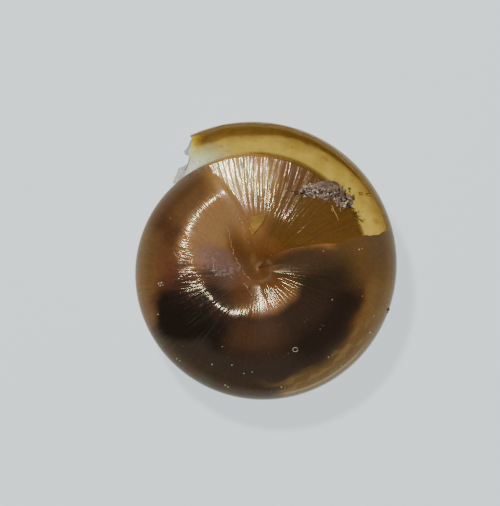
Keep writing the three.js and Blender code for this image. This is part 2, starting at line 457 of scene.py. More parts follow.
def ragged_sheet(first, second, place, roughness, seed, steps=14, rows=5):
    """A sheet between two lines of photo pixels, with the second line's edge broken unevenly."""
    first, second = np.array(first, float), np.array(second, float)
    vertices = []
    for i in range(steps + 1):
        along = i / steps
        ends = []
        for line in (first, second):
            reach = np.concatenate([[0], np.cumsum(np.hypot(*np.diff(line, axis=0).T))])
            ends.append([np.interp(along * reach[-1], reach, line[:, k]) for k in (0, 1)])
        jag = np.array([ragged(along * 5, seed, roughness), ragged(along * 5, seed + 4.5, roughness)])
        for j in range(rows + 1):
            share = j / rows
            x, y = np.array(ends[0]) * (1 - share) + (np.array(ends[1]) + jag) * share
            vertices.append(place(x, y))
    faces = []
    for i in range(steps):
        for j in range(rows):
            corner = i * (rows + 1) + j
            faces.append((corner, corner + 1, corner + rows + 2, corner + rows + 1))
    return vertices, faces


# Each flake of the lip: where it joins the wall, and its broken edge, in photo pixels
LIP_FLAKES = (
    (
        ((191.3, 138.6), (190.9, 143), (189.8, 149), (188.3, 156)),
        ((191, 138.7), (186.4, 149), (183.3, 151), (184.6, 154.3)),
    ),
    (
        ((188.6, 162), (187.2, 168), (184, 175), (178, 182.5)),
        ((187.8, 163.5), (178, 168.5), (175.5, 175), (172, 183)),
    ),
)


def make_flakes(material):
    """Thin pale flakes of the wall at the lip."""
    pieces = []
    for i, (joined, broken) in enumerate(LIP_FLAKES):
        vertices, faces = ragged_sheet(joined, broken, above_wall, seed=2.5 + i, roughness=0.7)
        flake = new_piece(f"lip_flake_{i + 1}", vertices, faces, material)
        thicken(flake, FLAKE_THICKNESS)
        pieces.append(flake)
    return pieces


# A remnant of the wall beside the navel: its two long edges, in photo pixels
REMNANT_EDGES = (
    ((249.5, 216.5), (250.5, 223), (251.5, 229), (252.3, 234.5)),
    ((267, 213), (264, 220), (258.5, 228), (252.8, 234.8)),
)

# Torn edges of the film about the navel, in photo pixels
TORN_EDGES = (
    ((227.5, 229.5), (229.8, 233.5), (228.6, 238), (231.8, 241), (231, 246))
    + ((233.6, 249.5), (233.2, 254.5), (236.5, 258.5), (237.3, 262.5), (240.4, 265.5))
    + ((240, 268.8), (243.6, 271.8), (245, 275.6), (248.6, 277.6), (252, 281.5)),
    ((237.8, 213.5), (239.5, 219), (242.6, 223), (242.2, 228.5))
    + ((245.3, 232.5), (244.7, 237.6), (247.8, 241.5), (250.3, 248.5)),
    ((246.3, 218), (248.8, 223.8), (250.2, 229.6), (252.6, 234.8)),
    ((243.5, 283.5), (247.5, 287.5), (250.4, 293.2), (253.2, 297.6)),
    ((202.5, 268.5), (208, 269.8), (214.5, 271), (222, 271.6)),
    ((213, 262), (214.2, 268), (214, 274)),
    ((206, 276.4), (212, 276), (218, 275), (224.5, 274.6), (230, 273.8)),
    ((224, 270.5), (227.5, 273), (230.5, 276.5), (233.5, 279)),
)


def make_remnant(material):
    """The thin golden remnant beside the navel."""

    def laid(x, y):
        return Vector(on_surface(x, y, REMNANT_LIFT))

    vertices, faces = ragged_sheet(*REMNANT_EDGES, laid, steps=16, rows=8, roughness=0.3, seed=6.5)
    remnant = new_piece("golden_remnant", vertices, faces, material)
    thicken(remnant, REMNANT_THICKNESS)
    return remnant


def make_torn_edges(material):
    """Fine whitish edges where the film about the navel is torn."""
    chance = np.random.default_rng(3)
    unevenness, steps = 0.22, 4
    parts = []
    for corners in TORN_EDGES:
        points, radii = [], []
        for (x, y), (next_x, next_y) in zip(corners, corners[1:]):
            for k in range(steps):
                share = k / steps
                across = x + (next_x - x) * share + chance.normal() * unevenness
                down = y + (next_y - y) * share + chance.normal() * unevenness
                points.append(on_surface(across, down, 0.15 * PIXEL))
                radii.append(PIXEL * (0.1 + 0.3 * chance.random() ** 2))
        parts.append(tube(points, radii, 4))
    return join_parts("torn_film_edges", parts, material)


# Small things on the shell


def tube(points, radii, sides=5):
    """A closed tube along a line of points."""
    points = [Vector(point) for point in points]
    vertices, faces = [], []
    for i, point in enumerate(points):
        ahead = (points[min(i + 1, len(points) - 1)] - points[max(i - 1, 0)]).normalized()
        sideways = ahead.cross(Vector((0.31, 0.17, 0.93))).normalized()
        upwards = sideways.cross(ahead)
        for k in range(sides):
            turn = 2 * math.pi * k / sides
            vertices.append(point + (sideways * math.cos(turn) + upwards * math.sin(turn)) * radii[i])
        if i:
            first = (i - 1) * sides
            for k in range(sides):
                after = (k + 1) % sides
                faces.append((first + k, first + sides + k, first + sides + after, first + after))
    faces.append(tuple(range(sides)))
    last = (len(points) - 1) * sides
    faces.append(tuple(last + k for k in reversed(range(sides))))
    return vertices, faces


def round_grid(steps):
    """Points and triangles of a ball of radius 1."""
    made = bmesh.new()
    bmesh.ops.create_icosphere(made, subdivisions=steps, radius=1)
    points = np.array([v.co[:] for v in made.verts])
    faces = [tuple(v.index for v in f.verts) for f in made.faces]
    made.free()
    return points, faces


GRAIN_POINTS, GRAIN_FACES = round_grid(2)
GRAIN_CUTS = 7


def grain(centre, size, chance, flatness=0.75):
    """An angular lump: a ball pushed in at a few random planes."""
    points = GRAIN_POINTS.copy()
    for _ in range(GRAIN_CUTS):
        plane = chance.normal(size=3)
        plane /= np.linalg.norm(plane)
        depth = chance.uniform(0.45, 0.85)
        over = np.maximum(points @ plane - depth, 0)
        points -= over[:, None] * plane[None, :]
    stretch = chance.uniform(0.7, 1.25, 3) * (1, 1, flatness)
    turn = chance.uniform(0, 2 * math.pi)
    cosine, sine = math.cos(turn), math.sin(turn)
    points = points * stretch * size
    x, y, z = points.T
    points = np.stack([x * cosine - y * sine, x * sine + y * cosine, z], 1)
    return [Vector(point) + Vector(centre) for point in points], GRAIN_FACES


# Spine of the dirt clump, in photo pixels, with its half width there
CLUMP_SPINE = (
    (300.5, 191.5, 1.5), (309, 190, 7), (320, 189, 10), (331, 191, 10.5), (341, 196.5, 10), (348, 203.5, 6.5),
)
CLUMP_GRAINS = 900
CLUMP_LUMPS = 34
CLUMP_HEIGHT = 7 * PIXEL
# Grains that lie beside it, in photo pixels, with their size
STRAY_GRAINS = (
    (292, 191, 0.9), (288, 190.5, 0.7), (294, 193.5, 0.6), (377, 197, 1.3), (380, 201, 1),
    (360, 194, 0.7), (363, 194.3, 0.6), (367, 194, 0.6), (388.5, 309.5, 1.5), (387.8, 312.3, 1),
)


def make_dirt(material):
    """The clump of soil grains that lies across the suture."""
    chance = np.random.default_rng(11)
    spine = np.array(CLUMP_SPINE)
    parts, shades = [], []

    def on_spine(along):
        return (np.interp(along, range(len(spine)), spine[:, k]) for k in range(3))

    def lay(x, y, size, above, flatness=0.75):
        parts.append(grain(on_surface(x, y, above), size, chance, flatness))

    for _ in range(CLUMP_GRAINS):
        x, y, half = on_spine(chance.uniform(0, len(spine) - 1))
        spread = np.clip(chance.normal(size=2) * 0.5, -1.15, 1.15)
        size = chance.uniform(0.55, 1.6) * PIXEL * (1.3 if chance.random() < 0.12 else 1)
        pile = chance.uniform(0, 1) * max(1 - np.hypot(*spread), 0) * CLUMP_HEIGHT
        lay(x + spread[0] * half, y + spread[1] * half * 0.8, size, size * 0.3 + pile)
        shades.append(chance.random())
    for along in np.linspace(0.4, len(spine) - 1.15, CLUMP_LUMPS):
        x, y, half = on_spine(along)
        x, y = x + chance.normal() * half * 0.3, y + chance.normal() * half * 0.3
        size = half * chance.uniform(0.42, 0.6) * PIXEL
        lay(x, y, size, size * 0.2, 0.6)
        shades.append(chance.uniform(0.1, 0.5))
    for x, y, size in STRAY_GRAINS:
        lay(x, y, size * PIXEL, size * PIXEL * 0.4)
        shades.append(chance.random() * 0.4)
    dirt = join_parts("soil_grains", parts, material, smooth_faces=False)
    add_values(dirt, "shade", np.repeat(shades, len(GRAIN_POINTS)))
    return dirt


# Fibres in photo pixels: points, thickness, and how far they stand off the surface at each end
PALE_FIBRES = (
    (((332, 205), (333.5, 209), (336, 214), (339.3, 221)), 0.45, 1, 2),
    (((333, 207.5), (331.6, 209.5), (333.2, 211.8)), 0.35, 1, 2),
    (((341, 205), (340, 209), (341.5, 212)), 0.3, 1, 2),
    (((174, 252), (176, 256), (180, 258)), 0.3, 0, 0),
)
DARK_FIBRES = (
    (((349, 204), (351, 209), (353, 213)), 0.38, 1, 2),
    (((351, 206.5), (353.5, 208.5), (356, 208)), 0.33, 1, 2),
    (((352, 211), (356.5, 212.2), (360, 211)), 0.33, 1, 3),
    (((355, 213), (358.5, 216), (361.5, 215.5)), 0.33, 1, 3),
    (((357, 216), (361, 220), (365.5, 219.5)), 0.36, 1, 3),
    (((353, 208), (354.5, 212), (353.5, 216)), 0.3, 1, 2),
    (((356, 211), (356.5, 216), (358.5, 219.5)), 0.33, 1, 2),
    (((359, 218), (362, 221.5), (364.5, 222)), 0.3, 1, 2),
    (((299, 191), (295, 191.5), (291, 190.5)), 0.5, 1, 1),
    (((300, 192), (296, 194), (293, 194.5)), 0.4, 1, 1),
    (((303, 196), (301, 199), (302, 202)), 0.3, 1, 1),
    (((358.5, 192), (361, 192.6), (363.5, 192.2)), 0.4, 0, 0),
    (((366, 193), (370, 193.8), (373.5, 193.4)), 0.4, 0, 0),
    (((375, 194.5), (378, 197), (379.8, 201)), 0.5, 0, 0),
    (((190.6, 155.5), (189.4, 160), (187.4, 165), (184.6, 170)), 0.33, 0, 0),
)


def evened(line):
    """A row of numbers with each one drawn towards its neighbours; the ends stay."""
    line = line.copy()
    line[1:-1] = (line[:-2] + 2 * line[1:-1] + line[2:]) / 4
    return line


def make_fibres(name, fibres, material, seed):
    """Plant fibres as thin tubes that taper to their ends."""
    chance = np.random.default_rng(seed)
    parts = []
    for corners, thickness, off_start, off_end in fibres:
        corners = np.array(corners, float)
        count = 5 * (len(corners) - 1) + 1
        along = np.linspace(0, len(corners) - 1, count)
        x, y = (np.interp(along, range(len(corners)), corners[:, k]) for k in (0, 1))
        for _ in range(3):
            x, y = evened(x), evened(y)
        x[1:-1] += chance.normal(size=count - 2) * 0.12
        off = np.linspace(off_start, off_end, count) + thickness * 0.6
        points = np.array([on_surface(x[i], y[i], off[i] * PIXEL) for i in range(count)])
        for _ in range(6):  # a fibre spans hollows
            points[1:-1, 2] = np.maximum(points[1:-1, 2], (points[:-2, 2] + points[2:, 2]) / 2)
        taper = [0.55 + 0.45 * math.sin(math.pi * min(i + 1, count - i) / count) for i in range(count)]
        parts.append(tube(points, [thickness * PIXEL * share for share in taper]))
    return join_parts(name, parts, material)


# White specks that can be made out in the photo, in its pixels, with their size
SPECKS = (
    (158.5, 283.5, 1.2), (161.5, 282.8, 1.1), (160.3, 285.5, 1), (163, 285, 0.8), (158, 314.5, 0.8),
    (170, 218, 0.8), (319.5, 247, 1.1), (323, 251, 0.7), (318, 250.5, 0.6), (359, 249.5, 0.9),
    (362, 248.5, 0.7), (370, 332.5, 1.3), (372.5, 334, 0.8), (374, 316, 0.8), (362, 296, 0.6),
    (332, 299.5, 0.7), (320, 329, 0.6), (222.5, 346.5, 0.8), (212, 364.5, 1), (232, 365, 0.8),
    (244, 373.5, 0.8), (252, 372, 0.8), (225.5, 385.5, 1.1), (228, 387, 0.8), (281.5, 387, 1),
    (285, 388, 0.7), (177, 359, 1.1), (180, 361, 0.8), (328.5, 357, 0.9), (341, 366, 0.8),
    (199.5, 161, 0.8),
)
RING_SPECK = (295.3, 349.5, 2.6)
RING_POINTS = 26
FINE_SPECKS = 36


def make_specks(material):
    """Pale specks, and one small ring with a gap."""
    chance = np.random.default_rng(5)
    places = list(SPECKS)
    for _ in range(FINE_SPECKS):
        turn, reach = chance.uniform(150, 350), chance.uniform(60, 126)
        x = COIL_CENTRE[0] + reach * math.cos(math.radians(turn))
        y = COIL_CENTRE[1] - reach * math.sin(math.radians(turn))
        places.append((x, y, chance.uniform(0.18, 0.36)))
    parts = [grain(on_surface(x, y, size * PIXEL * 0.1), size * PIXEL, chance, 0.4) for x, y, size in places]
    x, y, size = RING_SPECK
    ring = []
    for k in range(RING_POINTS - 1):
        turn = 2 * math.pi * k / RING_POINTS
        ring.append(on_surface(x + size * math.cos(turn), y + size * 0.8 * math.sin(turn), 0.2 * PIXEL))
    parts.append(tube(ring, [0.45 * PIXEL] * len(ring)))
    return join_parts("pale_specks", parts, material)


# Materials


class Nodes:
    """Short calls for placing and joining the nodes of one tree."""

    def __init__(self, tree):
        self.tree = tree
        self.made = 0

    def add(self, kind, inputs=None, **settings):
        node = self.tree.nodes.new(kind)
        node.location = (220 * (self.made % 8), -260 * (self.made // 8))
        self.made += 1
        for name, value in settings.items():
            setattr(node, name, value)
        self.fill(node, inputs or {})
        return node

    def fill(self, node, inputs):
        """Gives a node's inputs, by name or number, each a value or another node's output."""
        for name, value in inputs.items():
            if isinstance(value, bpy.types.NodeSocket):
                self.tree.links.new(value, node.inputs[name])
            else:
                node.inputs[name].default_value = value

    def math(self, operation, *values, clamp=False):
        node = self.add("ShaderNodeMath", dict(enumerate(values)), operation=operation, use_clamp=clamp)
        return node.outputs[0]

    def times(self, first, second):
        return self.math("MULTIPLY", first, second)

    def plus(self, first, second):
        return self.math("ADD", first, second)

    def minus(self, first, second):
        return self.math("SUBTRACT", first, second)

    def times_plus(self, first, second, third):
        return self.math("MULTIPLY_ADD", first, second, third)

    def step(self, value, low, high, bottom=0, top=1):
        """A soft step from bottom to top as the value goes from low to high."""
        inputs = {"Value": value, "From Min": low, "From Max": high, "To Min": bottom, "To Max": top}
        return self.add("ShaderNodeMapRange", inputs, interpolation_type="SMOOTHSTEP").outputs["Result"]

    def steps(self, value, start, changes):
        """A number that changes in soft steps, each with its low and high end and what it adds."""
        for low, high, change in changes:
            start = self.plus(start, self.step(value, low, high, 0, change))
        return start

    def window(self, value, low, high, softness):
        """1 from low to high, with soft ends."""
        rise, fall = (
            self.step(value, self.minus(end, softness), self.plus(end, softness)) for end in (low, high)
        )
        return self.math("SUBTRACT", rise, fall, clamp=True)

    def mix(self, share, first, second, blend="MIX"):
        inputs = {"Factor": share, 6: first, 7: second}
        return self.add("ShaderNodeMix", inputs, data_type="RGBA", blend_type=blend).outputs[2]

    def noise(self, place, scale, detail=3, roughness=0.5, distortion=0):
        inputs = {"Vector": place, "Scale": scale, "Detail": detail, "Roughness": roughness}
        return self.add("ShaderNodeTexNoise", {**inputs, "Distortion": distortion}).outputs["Fac"]

    def vector(self, x, y, z=0):
        return self.add("ShaderNodeCombineXYZ", {"X": x, "Y": y, "Z": z}).outputs[0]

    def vector_math(self, operation, inputs):
        return self.add("ShaderNodeVectorMath", inputs, operation=operation).outputs

    def split(self, vector):
        return self.add("ShaderNodeSeparateXYZ", {0: vector}).outputs

    def from_axis(self, place):
        """Distance from the axis."""
        flat = self.vector_math("MULTIPLY", {0: place, 1: (1, 1, 0)})[0]
        return self.vector_math("LENGTH", {0: flat})["Value"]

    def value_of(self, name):
        return self.add("ShaderNodeAttribute", attribute_name=name).outputs["Fac"]

    def pixels(self):
        """Place on the object, in photo pixels from the coil's axis."""
        place = self.add("ShaderNodeTexCoord").outputs["Object"]
        return self.vector_math("SCALE", {0: place, "Scale": 1 / PIXEL})[0]

    def bump(self, height, strength, distance):
        inputs = {"Height": height, "Strength": strength, "Distance": distance}
        return self.add("ShaderNodeBump", inputs).outputs[0]

    def group(self, tree, **inputs):
        return self.add("ShaderNodeGroup", inputs, node_tree=tree).outputs


def new_group(name, numbers, output, vectors=()):
    """A node group with named sockets; gives its tree, its nodes, its input sockets and its output node."""
    tree = bpy.data.node_groups.new(name, "ShaderNodeTree")
    for socket in vectors:
        tree.interface.new_socket(socket, in_out="INPUT", socket_type="NodeSocketVector")
    for socket in numbers:
        tree.interface.new_socket(socket, in_out="INPUT", socket_type="NodeSocketFloat")
    tree.interface.new_socket(output, in_out="OUTPUT", socket_type="NodeSocketFloat")
    nodes = Nodes(tree)
    return tree, nodes, nodes.add("NodeGroupInput").outputs, nodes.add("NodeGroupOutput")


def new_material(name):
    material = bpy.data.materials.new(name)
    material.use_nodes = True
    material.node_tree.nodes.clear()
    nodes = Nodes(material.node_tree)
    surface = nodes.add("ShaderNodeBsdfPrincipled")
    nodes.add("ShaderNodeOutputMaterial", {"Surface": surface.outputs[0]})
    return material, nodes, surface


def rgb(red, green, blue):
    """A colour from its display numbers, 0 to 255."""
    parts = [c / 255 for c in (red, green, blue)]
    linear = [c / 12.92 if c <= 0.04045 else ((c + 0.055) / 1.055) ** 2.4 for c in parts]
    return (*linear, 1)


EVEN_SPACING = 3.7
# Sizes of the uneven lines: how much finer along the coil, how much finer across it, and their share
LINE_SIZES = ((1, 1.2, 0.52), (2.4, 3, 0.32), (5.8, 7, 0.13))
LINE_WANDER = 4  # degrees
EVEN_DEPTH = 0.042
EVEN_DEPTH_CHANGE = 0.27
LINES_MEASURED_AT = 90  # pixels from the axis


def growth_lines_group():
    """Lines across the whorl, where the shell grew on, as a height; as steep near the axis as far out."""
    sockets = ("Growth", "Across", "Spacing", "Distance", "Evenness", "Lean")
    tree, nodes, given, made = new_group("growth lines", sockets, "Height")
    wander = nodes.noise(nodes.vector(nodes.times(given["Growth"], 0.05), given["Across"]), 2, 0)
    turned = nodes.plus(given["Growth"], nodes.times(wander, LINE_WANDER))
    turn = nodes.math("DIVIDE", turned, given["Spacing"])
    heights = []
    for finer, along, share in LINE_SIZES:
        place = nodes.vector(nodes.times(turn, finer), nodes.times(given["Across"], along), finer)
        heights.append(nodes.times(nodes.noise(place, 1, 0), share))
    uneven = nodes.plus(nodes.plus(heights[0], heights[1]), heights[2])
    phase = nodes.times(turned, 2 * math.pi / EVEN_SPACING)
    wave = nodes.math("SINE", nodes.times_plus(nodes.math("SINE", phase), given["Lean"], phase))
    depth = nodes.times_plus(heights[1], EVEN_DEPTH_CHANGE, EVEN_DEPTH)
    even = nodes.times(nodes.times(wave, depth), given["Evenness"])
    uneven = nodes.times(uneven, nodes.times_plus(given["Evenness"], -0.6, 1))
    reach = nodes.math("DIVIDE", given["Distance"], LINES_MEASURED_AT)
    nodes.fill(made, {"Height": nodes.times(nodes.plus(uneven, even), reach)})
    return tree


COIL_NUMBERS = ("Start", "End", "Inner", "Outer", "Turn Softness", "Band Softness")
OVAL_NUMBERS = ("Centre X", "Centre Y", "Half Length", "Half Width", "Turn", "Softness", "Squareness")


def coil_patch_group():
    """A soft-edged patch on a stretch of the coil, between two distances from the axis."""
    sockets = ("Growth", "Distance", *COIL_NUMBERS)
    tree, nodes, given, made = new_group("patch along the whorl", sockets, "Mask")
    turn = nodes.window(given["Growth"], given["Start"], given["End"], given["Turn Softness"])
    band = nodes.window(given["Distance"], given["Inner"], given["Outer"], given["Band Softness"])
    nodes.fill(made, {"Mask": nodes.times(turn, band)})
    return tree


def oval_patch_group():
    """A soft-edged oval patch; with more squareness than 2 it nears a rectangle."""
    tree, nodes, given, made = new_group("oval patch", OVAL_NUMBERS, "Mask", vectors=("Place",))
    centre = nodes.vector(given["Centre X"], given["Centre Y"])
    offset = nodes.vector_math("SUBTRACT", {0: given["Place"], 1: centre})[0]
    turn = nodes.times(nodes.math("RADIANS", given["Turn"]), -1)
    turned = nodes.add("ShaderNodeVectorRotate", {"Vector": offset, "Angle": turn}, rotation_type="Z_AXIS")
    sides = []
    for side, half in zip(nodes.split(turned.outputs[0]), ("Half Length", "Half Width")):
        side = nodes.math("ABSOLUTE", nodes.math("DIVIDE", side, given[half]))
        sides.append(nodes.math("POWER", side, given["Squareness"]))
    reach = nodes.math("POWER", nodes.plus(*sides), nodes.math("DIVIDE", 1, given["Squareness"]))
    inner, outer = nodes.minus(1, given["Softness"]), nodes.plus(1, given["Softness"])
    nodes.fill(made, {"Mask": nodes.step(reach, inner, outer, 1, 0)})
    return tree


def pale_lip_group():
    """Where the wall runs out, pale and thin, at the lip."""
    tree, nodes, given, made = new_group("pale lip", ("Growth", "Across"), "Mask")
    near_lip = nodes.step(given["Growth"], 458, 483)
    nodes.fill(made, {"Mask": nodes.times(near_lip, nodes.step(given["Across"], 0.62, 0.04))})
    return tree


GROWTH_LINES = growth_lines_group()
PALE_LIP = pale_lip_group()
COIL_PATCH = coil_patch_group()
OVAL_PATCH = oval_patch_group()

# What shows through the wall and along it, with two patches of painted sheen, laid on in this order. Each
# patch has its name, the numbers that COIL_NUMBERS or OVAL_NUMBERS names, its colour and its strength.
# Distances are in pixels.
COIL_PATCHES = (
    ("brown of the whorl before", 0, 80, 30, 122, 12, 9, rgb(103, 72, 32), 0.9),
    ("brown of the upper left", 118, 170, 84, 140, 10, 9, rgb(101, 70, 42), 0.95),
    ("umber of the upper left", 120, 164, 104, 140, 8, 7, rgb(82, 57, 35), 0.85),
    ("umber of the left", 150, 173, 84, 120, 7, 7, rgb(78, 48, 27), 0.85),
    ("dull brown of the left", 166, 196, 66, 108, 8, 9, rgb(102, 66, 42), 0.9),
    ("red brown of the left", 174, 198, 62, 96, 6, 9, rgb(96, 54, 40), 0.8),
    ("amber rim of the left", 160, 206, 103, 140, 7, 6, rgb(104, 76, 47), 0.9),
    ("dark brown below", 200, 366, 44, 112, 9, 9, rgb(59, 42, 32), 1),
    ("black foot of the remains", 202, 246, 62, 101, 7, 8, rgb(36, 29, 24), 0.95),
    ("charcoal band below", 212, 322, 90, 120, 8, 8, rgb(64, 53, 45), 0.9),
    ("black band on the right", 292, 362, 79, 104, 12, 9, rgb(44, 32, 26), 0.85),
    ("rusty brown below", 248, 290, 50, 82, 12, 11, rgb(92, 62, 42), 0.6),
    ("olive brown of the right", 350, 392, 78, 150, 9, 11, rgb(106, 78, 43), 0.95),
    ("lit rim on the lower right", 272, 356, 114, 150, 11, 6, rgb(115, 92, 58), 0.85),
    ("grey brown rim below", 206, 284, 112, 150, 9, 6, rgb(62, 50, 40), 0.95),
    # Painted sheen: a pale grey reflection on the rim by the break, painted into the colour
    ("painted grey sheen at the break", 362, 380, 112, 150, 6, 7, rgb(98, 80, 62), 0.6),
    ("olive rim by the broken base", 384, 500, 100, 170, 5, 6, rgb(112, 90, 44), 0.9),
)
OVAL_PATCHES = (
    ("brown middle", 0, -4, 36, 32, 0, 0.5, 2, rgb(108, 68, 32), 0.95),
    ("black remains", -76, -46, 26, 25, 0, 0.2, 5, rgb(34, 26, 21), 1),
    ("dusk over the remains", -62, -24, 30, 14, -8, 0.6, 3, rgb(47, 32, 26), 0.85),
    ("dark end of the remains", 58, -4, 36, 21, -12, 0.45, 2, rgb(54, 42, 31), 0.9),
    ("dark inside the arc", -37, -24, 18, 11, -35, 0.55, 2, rgb(58, 42, 34), 0.9),
    ("tan left of the middle", -40, 44, 32, 18, 45, 0.5, 2, rgb(154, 118, 78), 0.85),
    ("purple grey film", -42, 9, 22, 13, -28, 0.55, 2, rgb(128, 98, 92), 0.75),
    ("dusky film below", -36, -6, 18, 9, -20, 0.55, 2, rgb(98, 76, 74), 0.6),
    ("brown band by the middle", -16, 14, 28, 8, -64, 0.6, 2, rgb(98, 64, 38), 0.7),
    # Painted sheen: the pale glow between the highlight streaks, painted into the colour as pale yellow
    ("painted pale sheen under the streaks", -15, 94, 29, 20, 0, 0.5, 2, rgb(196, 163, 94), 0.75),
    ("dark corner by the break", 52, 8, 38, 12, 10, 0.4, 3, rgb(78, 58, 40), 0.8),
    ("dark line inside the arc", -50, -5, 17, 7, -12, 0.8, 2, rgb(64, 46, 38), 0.75),
    ("rust by the fan", -16, -28, 13, 11, -30, 0.6, 2, rgb(86, 54, 34), 0.8),
    ("pale lump in the middle", 5, 5, 6, 3, 5, 0.5, 2, rgb(146, 110, 72), 0.55),
    ("pale lump beside it", -5, 12, 3, 6, -12, 0.5, 2, rgb(138, 102, 60), 0.5),
    ("golden brown above the middle", 1, 62, 12, 16, 0, 0.6, 2, rgb(134, 95, 42), 0.7),
)


PATCH_DRIFT = 13  # pixels by which the patches' edges wander, at most
FILM_SPOTS = (-40, 6, 21, 12, -25, 0.5, 2)  # an oval
# Painted reflections: pale streaks on the lower right rim, standing in for reflections along it
RIM_REFLECTION_STREAKS = (278, 336, 113, 129, 12, 5)  # a patch along the whorl
# Painted highlight: a thin pale line along the lower right rim
RIM_HIGHLIGHT_LINE = ((282, 322, 8), (1.03, 1.042, 0.006))  # its ends along and across the whorl, with their softness


def coil_mask(nodes, growth, distance, numbers):
    inputs = dict(zip(COIL_NUMBERS, numbers))
    return nodes.group(COIL_PATCH, Growth=growth, Distance=distance, **inputs)["Mask"]


def oval_mask(nodes, place, numbers):
    return nodes.group(OVAL_PATCH, Place=place, **dict(zip(OVAL_NUMBERS, numbers)))["Mask"]


def lay_patches(nodes, colour, growth, across, place):
    """Lays the patches over a colour, then the painted reflection streaks and the painted highlight line on
    the rim.
    """
    inputs = {"Vector": place, "Scale": 0.04, "Detail": 1.5, "Roughness": 0.45}
    drift = nodes.add("ShaderNodeTexNoise", inputs)
    off_middle = nodes.vector_math("SUBTRACT", {0: drift.outputs["Color"], 1: (0.5, 0.5, 0.5)})[0]
    shift = nodes.vector_math("SCALE", {0: off_middle, "Scale": PATCH_DRIFT})[0]
    moved = nodes.vector_math("ADD", {0: place, 1: shift})[0]
    distance = nodes.from_axis(moved)
    uneven_growth = nodes.plus(growth, nodes.times(nodes.split(shift)[2], 0.8))
    for _, *numbers, tint, strength in COIL_PATCHES:
        mask = coil_mask(nodes, uneven_growth, distance, numbers)
        colour = nodes.mix(nodes.times(mask, strength), colour, tint)
    for _, *numbers, tint, strength in OVAL_PATCHES:
        colour = nodes.mix(nodes.times(oval_mask(nodes, moved, numbers), strength), colour, tint)

    mottled = nodes.step(nodes.noise(place, 0.22, 4, 0.65, 0.6), 0.48, 0.64, 0, 0.65)
    colour = nodes.mix(nodes.times(oval_mask(nodes, place, FILM_SPOTS), mottled), colour, rgb(146, 128, 126))
    # Painted reflection streaks along the lower right rim
    streaks = nodes.noise(nodes.vector(nodes.times(growth, 0.09), nodes.times(distance, 0.16)), 1, 1)
    streaks = nodes.step(streaks, 0.46, 0.66, 0, 0.35)
    streaks = nodes.times(coil_mask(nodes, growth, distance, RIM_REFLECTION_STREAKS), streaks)
    colour = nodes.mix(streaks, colour, rgb(168, 140, 88))
    # Painted highlight line along the lower right rim
    painted_highlight_line = nodes.times(nodes.window(growth, *RIM_HIGHLIGHT_LINE[0]), nodes.window(across, *RIM_HIGHLIGHT_LINE[1]))
    return nodes.mix(nodes.times(painted_highlight_line, 0.7), colour, rgb(190, 168, 116))


# The fine growth lines change along the coil. Each row gives the coil angles between which a change
# comes in, and what it adds: to how rough the lines are, how even, and which way they lean.
ROUGHER = ((342, 358, -1), (168, 195, 1.3), (222, 250, -1.3), (280, 300, 0.8), (334, 354, -0.8))
ROUGHER += ((81, 99, -0.4), (107, 125, 0.4))
EVENER = ((165, 190, 0.7), (222, 255, -0.4), (262, 284, 0.5), (342, 356, -0.8))
LEAN_AT_FIRST = -0.6
LEAN = ((240, 258, 1.1), (296, 312, -1))
# So does the distance from the axis, in pixels, at which the matt middle starts, and the coat's gleam
MATT_AT_FIRST = 32
MATT = ((236, 276, -16), (322, 362, 16))
COAT_AT_FIRST = 0.04
COAT = ((48, 82, 0.54), (113, 119, -0.54), (250, 275, 0.18), (325, 345, -0.18))


def outside_lines(nodes, growth, across, from_axis, matt):
    """Height of the fine growth lines: strong in the fan, the arc and the streaks, weak elsewhere."""
    later = nodes.step(from_axis, 78, 98, 0, 18)  # further out, the old whorl's streaks start later
    rough = nodes.step(growth, nodes.plus(later, 33), nodes.plus(later, 62), 0.22, 1)
    rough = nodes.steps(growth, rough, ROUGHER)
    even = nodes.times(nodes.steps(growth, 0, EVENER), nodes.step(from_axis, 82, 62))
    outer_part = nodes.times(nodes.step(from_axis, 80, 98), nodes.step(growth, 112, 122))
    strength = nodes.times(nodes.times_plus(rough, 0.65, 0.35), nodes.times_plus(outer_part, -0.7, 1))
    strength = nodes.times(strength, nodes.times_plus(matt, -0.9, 1))
    lines = nodes.group(
        GROWTH_LINES,
        Growth=growth,
        Across=across,
        Spacing=2.7,
        Distance=nodes.times(from_axis, strength),
        Evenness=even,
        Lean=nodes.steps(growth, LEAN_AT_FIRST, LEAN),
    )
    return lines["Height"]


